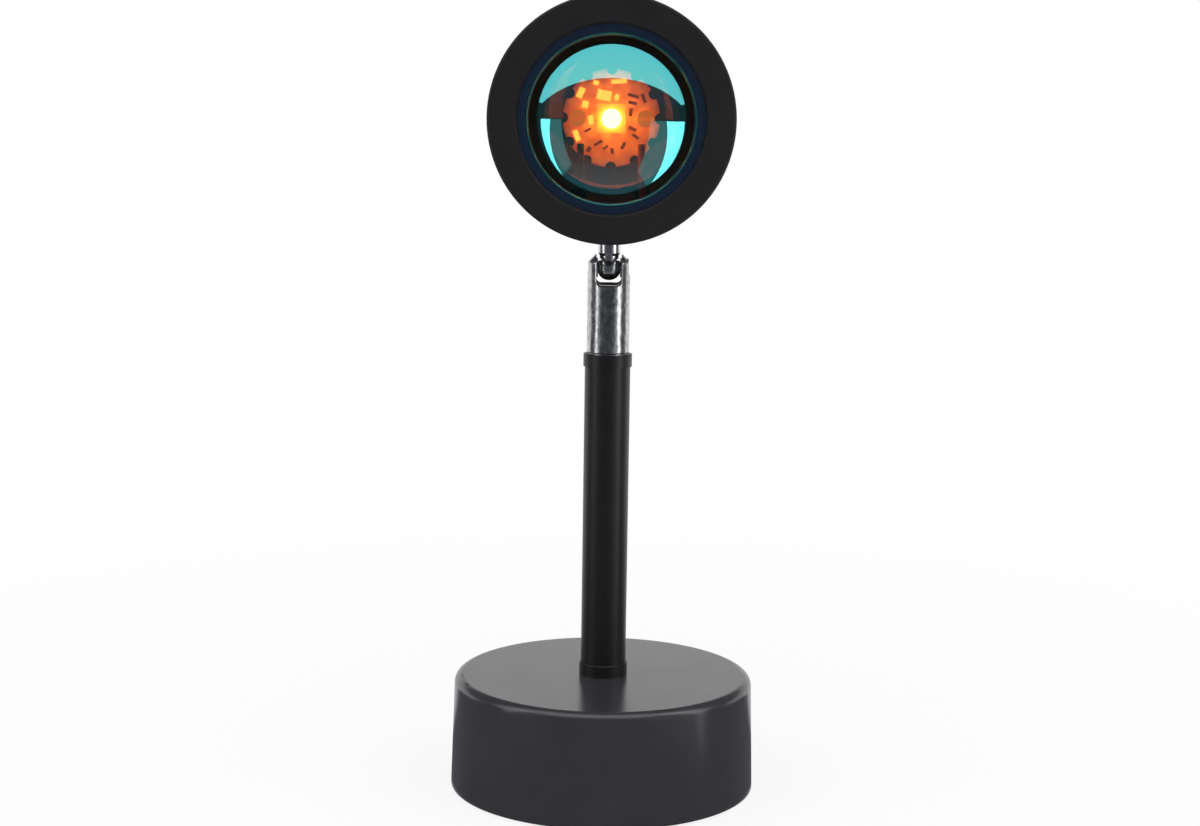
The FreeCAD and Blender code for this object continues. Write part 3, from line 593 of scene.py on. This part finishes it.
dress(board.coat({
    "Base Color": board.mixed(mask_noise, (0.70, 0.40, 0.22, 1), (0.95, 0.62, 0.36, 1)),
    "Roughness": 0.35 + mask_noise * 0.3,
    # Emission: painted glow falling off from the middle, with painted shade in patches and along the creases.
    "Emission Color": board.mixed(painted_crease_shade, board.mixed(painted_shade_patches, painted_glow_colour, (0.34, 0.085, 0.022, 1)),
                                  (0.22, 0.045, 0.012, 1)),
    "Emission Strength": 1.55,
    "Normal": board.bump(crease, 1.5e-4, board.bump(mask_noise, 6e-5)),
}), "led_board")
screw_steel = Finish("warm_screw_steel")
scratch = screw_steel.noise(0.0004, 3.0)
dress(screw_steel.coat({
    "Base Color": screw_steel.mixed(scratch, (0.80, 0.42, 0.20, 1), (0.95, 0.66, 0.40, 1)),
    "Metallic": 0.6,
    "Roughness": 0.40 + scratch * 0.2,
    # Painted glow: the screws' emission stands for light from the source and the lens.
    "Emission Color": (1.0, 0.40, 0.09, 1),
    "Emission Strength": 0.35,
}), "board_screws")


# ---- Pads and chips on the board: tinned pads with a bright painted glow, and small moulded chips with solder
# at their ends and a faint painted glow, each kind one pressed shape set down at its places by one node tree.
board_front, block_sink = -13.2, 0.05
pad_height, pad_dip = 0.25, 0.25
chip_height, chip_dip = 0.60, 0.12
pad_places = ((-4.5, 2.3, 0.50, 0.60, 14), (-3.5, -0.3, 0.42, 0.75, -8), (-5.3, 4.3, 0.50, 0.90, 24),
              (-1.3, 3.9, 1.20, 0.85, 12), (-5.9, -3.0, 0.42, 0.95, -22), (-2.7, 6.0, 0.45, 0.35, 20),
              (1.2, 6.3, 1.30, 0.35, -4), (0.9, 3.6, 0.35, 0.50, 10))
chip_places = ((3.7, 3.9, 0.95, 0.26, 16), (3.6, 2.7, 0.75, 0.28, 12), (3.3, 1.1, 0.30, 0.70, 8),
               (5.5, 3.5, 0.26, 0.80, -20), (3.6, -1.7, 0.70, 0.30, 24), (4.2, -3.0, 0.62, 0.26, 35),
               (2.1, -4.6, 0.30, 0.62, 28), (-2.2, -4.2, 0.80, 0.24, -32), (0.2, -5.5, 0.28, 0.50, -12),
               (-3.8, -5.3, 0.34, 0.45, 30), (-0.9, -4.9, 0.22, 0.50, 50), (-4.0, -2.0, 0.60, 0.20, -28))


def pressed_block(name, dip):
    """A block of half size 1, with rounded edges and its middle lower than its two ends."""
    across = ((-1.0, 0.0), (-1.0, 0.8), (-0.88, 1.0), (-0.62, 1.0), (-0.55, 1.0 - dip), (0.55, 1.0 - dip),
              (0.62, 1.0), (0.88, 1.0), (1.0, 0.8), (1.0, 0.0))
    stations = ((-1.0, 0.8), (-0.85, 1.0), (0.85, 1.0), (1.0, 0.8))
    wide = len(across)
    points = [(x, -rise * tall, z) for z, tall in stations for x, rise in across]
    faces = [(s * wide + k, s * wide + (k + 1) % wide, (s + 1) * wide + (k + 1) % wide, (s + 1) * wide + k)
             for s in range(len(stations) - 1) for k in range(wide)]
    faces += [tuple(range(wide)), tuple((len(stations) - 1) * wide + k for k in range(wide))]
    data = bpy.data.meshes.new(name)
    data.from_pydata(points, [], faces)
    mesh = bmesh.new()
    mesh.from_mesh(data)
    bmesh.ops.recalc_face_normals(mesh, faces=mesh.faces)
    mesh.to_mesh(data)
    mesh.free()
    return bpy.data.objects.new(name, data)


class Steps(Nodes):
    """A geometry tree with named inputs, which gives one geometry."""

    def __init__(self, name, inputs):
        super().__init__(bpy.data.node_groups.new(name, "GeometryNodeTree"))
        for title, kind in inputs:
            self.tree.interface.new_socket(title, in_out="INPUT", socket_type=kind)
        self.tree.interface.new_socket("Geometry", in_out="OUTPUT", socket_type="NodeSocketGeometry")
        self.given = self.tree.nodes.new("NodeGroupInput")

    def input(self, title):
        """The input of that name."""
        return Shade(self, self.given.outputs[title])

    def attribute(self, title, kind):
        """The points' attribute of that name."""
        return self.add("GeometryNodeInputNamedAttribute", {"data_type": kind}, {"Name": title}, "Attribute")


scatter = Steps("set_down", (("Geometry", "NodeSocketGeometry"), ("Part", "NodeSocketObject"),
                             ("Height", "NodeSocketFloat"), ("Finish", "NodeSocketMaterial")))
part = scatter.add("GeometryNodeObjectInfo", None, {"Object": scatter.input("Part")}, "Geometry")
half_size = scatter.attribute("half_size", "FLOAT_VECTOR")
flat = scatter.add("ShaderNodeSeparateXYZ", None, {0: half_size}).socket.node
scale = scatter.add("ShaderNodeCombineXYZ", None, {
    0: Shade(scatter, flat.outputs[0]), 1: scatter.input("Height"), 2: Shade(scatter, flat.outputs[2])})
placed = scatter.add("GeometryNodeInstanceOnPoints", None, {
    "Points": scatter.input("Geometry"), "Instance": part, "Scale": scale,
    "Rotation": scatter.attribute("turn", "FLOAT_VECTOR")})
whole = scatter.add("GeometryNodeRealizeInstances", None, {0: placed})
finished = scatter.add("GeometryNodeSetMaterial", None, {
    "Geometry": whole, "Material": scatter.input("Finish")})
scatter.add("NodeGroupOutput", None, {0: finished})


def set_down(name, places, block, height, material):
    """The block at each place on the board: right, up, half width and half height in mm, turn in degrees."""
    points = bpy.data.meshes.new(name)
    points.from_pydata([(x * MM, (board_front + block_sink) * MM, head_axis.z + z * MM)
                        for x, z, w, h, turn in places], [], [])
    sizes = points.attributes.new("half_size", "FLOAT_VECTOR", "POINT")
    turns = points.attributes.new("turn", "FLOAT_VECTOR", "POINT")
    for value, twist, (x, z, w, h, turn) in zip(sizes.data, turns.data, places):
        value.vector = (w * MM, 0, h * MM)
        twist.vector = (0, math.radians(turn), 0)
    seat = bpy.data.objects.new(name, points)
    bpy.context.scene.collection.objects.link(seat)
    modifier = seat.modifiers.new("set_down", "NODES")
    modifier.node_group = scatter.tree
    sockets = {item.name: item.identifier for item in scatter.tree.interface.items_tree
               if item.in_out == "INPUT"}
    modifier[sockets["Part"]] = block
    modifier[sockets["Height"]] = height * MM
    modifier[sockets["Finish"]] = material
    result = bpy.data.meshes.new_from_object(seat.evaluated_get(bpy.context.evaluated_depsgraph_get()))
    seat.modifiers.remove(modifier)
    seat.data = result
    bpy.data.objects.remove(block)
    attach(seat, "head")


tinned = Finish("glowing_tinned_pad")
blot = tinned.noise(0.0006, 3.0)
tinned_pad = tinned.coat({
    "Base Color": tinned.mixed(blot, (0.95, 0.70, 0.30, 1), (1.0, 0.90, 0.55, 1)),
    "Roughness": 0.35,
    # Painted glow: the pads' emission stands for the light thrown on them.
    "Emission Color": tinned.mixed(blot, (1.0, 0.66, 0.16, 1), (1.0, 0.95, 0.40, 1)),
    "Emission Strength": 2.1,
})
moulding = Finish("brown_chip_body")
fleck = moulding.noise(0.0003, 3.0)
chip_body = moulding.coat({
    "Base Color": moulding.mixed(fleck, (0.10, 0.028, 0.012, 1), (0.30, 0.10, 0.04, 1)),
    "Roughness": 0.30 + fleck * 0.2,
    # Painted glow: a faint emission that stands for the light on the board.
    "Emission Color": (1.0, 0.25, 0.04, 1),
    "Emission Strength": 0.10,
})
set_down("board_pads", pad_places, pressed_block("pad", pad_dip), pad_height, tinned_pad)
set_down("board_chips", chip_places, pressed_block("chip", chip_dip), chip_height, chip_body)


# ---- Light source: a square package of yellow phosphor and the clear half ball moulded over it.
phosphor = Finish("phosphor")
crumb = phosphor.noise(0.0004, 2.0)
dress(phosphor.coat({
    "Base Color": phosphor.mixed(crumb, (0.90, 0.62, 0.10, 1), (1.0, 0.80, 0.25, 1)),
    "Roughness": 0.5,
    "Emission Color": phosphor.mixed(crumb, (1.0, 0.36, 0.06, 1), (1.0, 0.62, 0.14, 1)),
    "Emission Strength": 1.10,
}), "led_emitter")
silicone = Finish("clear_silicone")
ripple = silicone.noise(0.001, 1.0)
dress(silicone.coat({
    "Base Color": silicone.mixed(ripple, (1.0, 0.95, 0.75, 1), (1.0, 0.98, 0.85, 1)),
    "Roughness": 0.08,
    "Emission Color": (1.0, 0.90, 0.55, 1),
    "Emission Strength": 40.0,
}), "emitter_dome")


# ---- Thermal pad: soft grey silicone sheet behind the board.
grease = Finish("thermal_grey")
filler = grease.noise(0.0003, 3.0)
dress(grease.coat({
    "Base Color": grease.mixed(filler, (0.20, 0.21, 0.23, 1), (0.34, 0.35, 0.37, 1)),
    "Roughness": 0.7,
}), "thermal_pad")
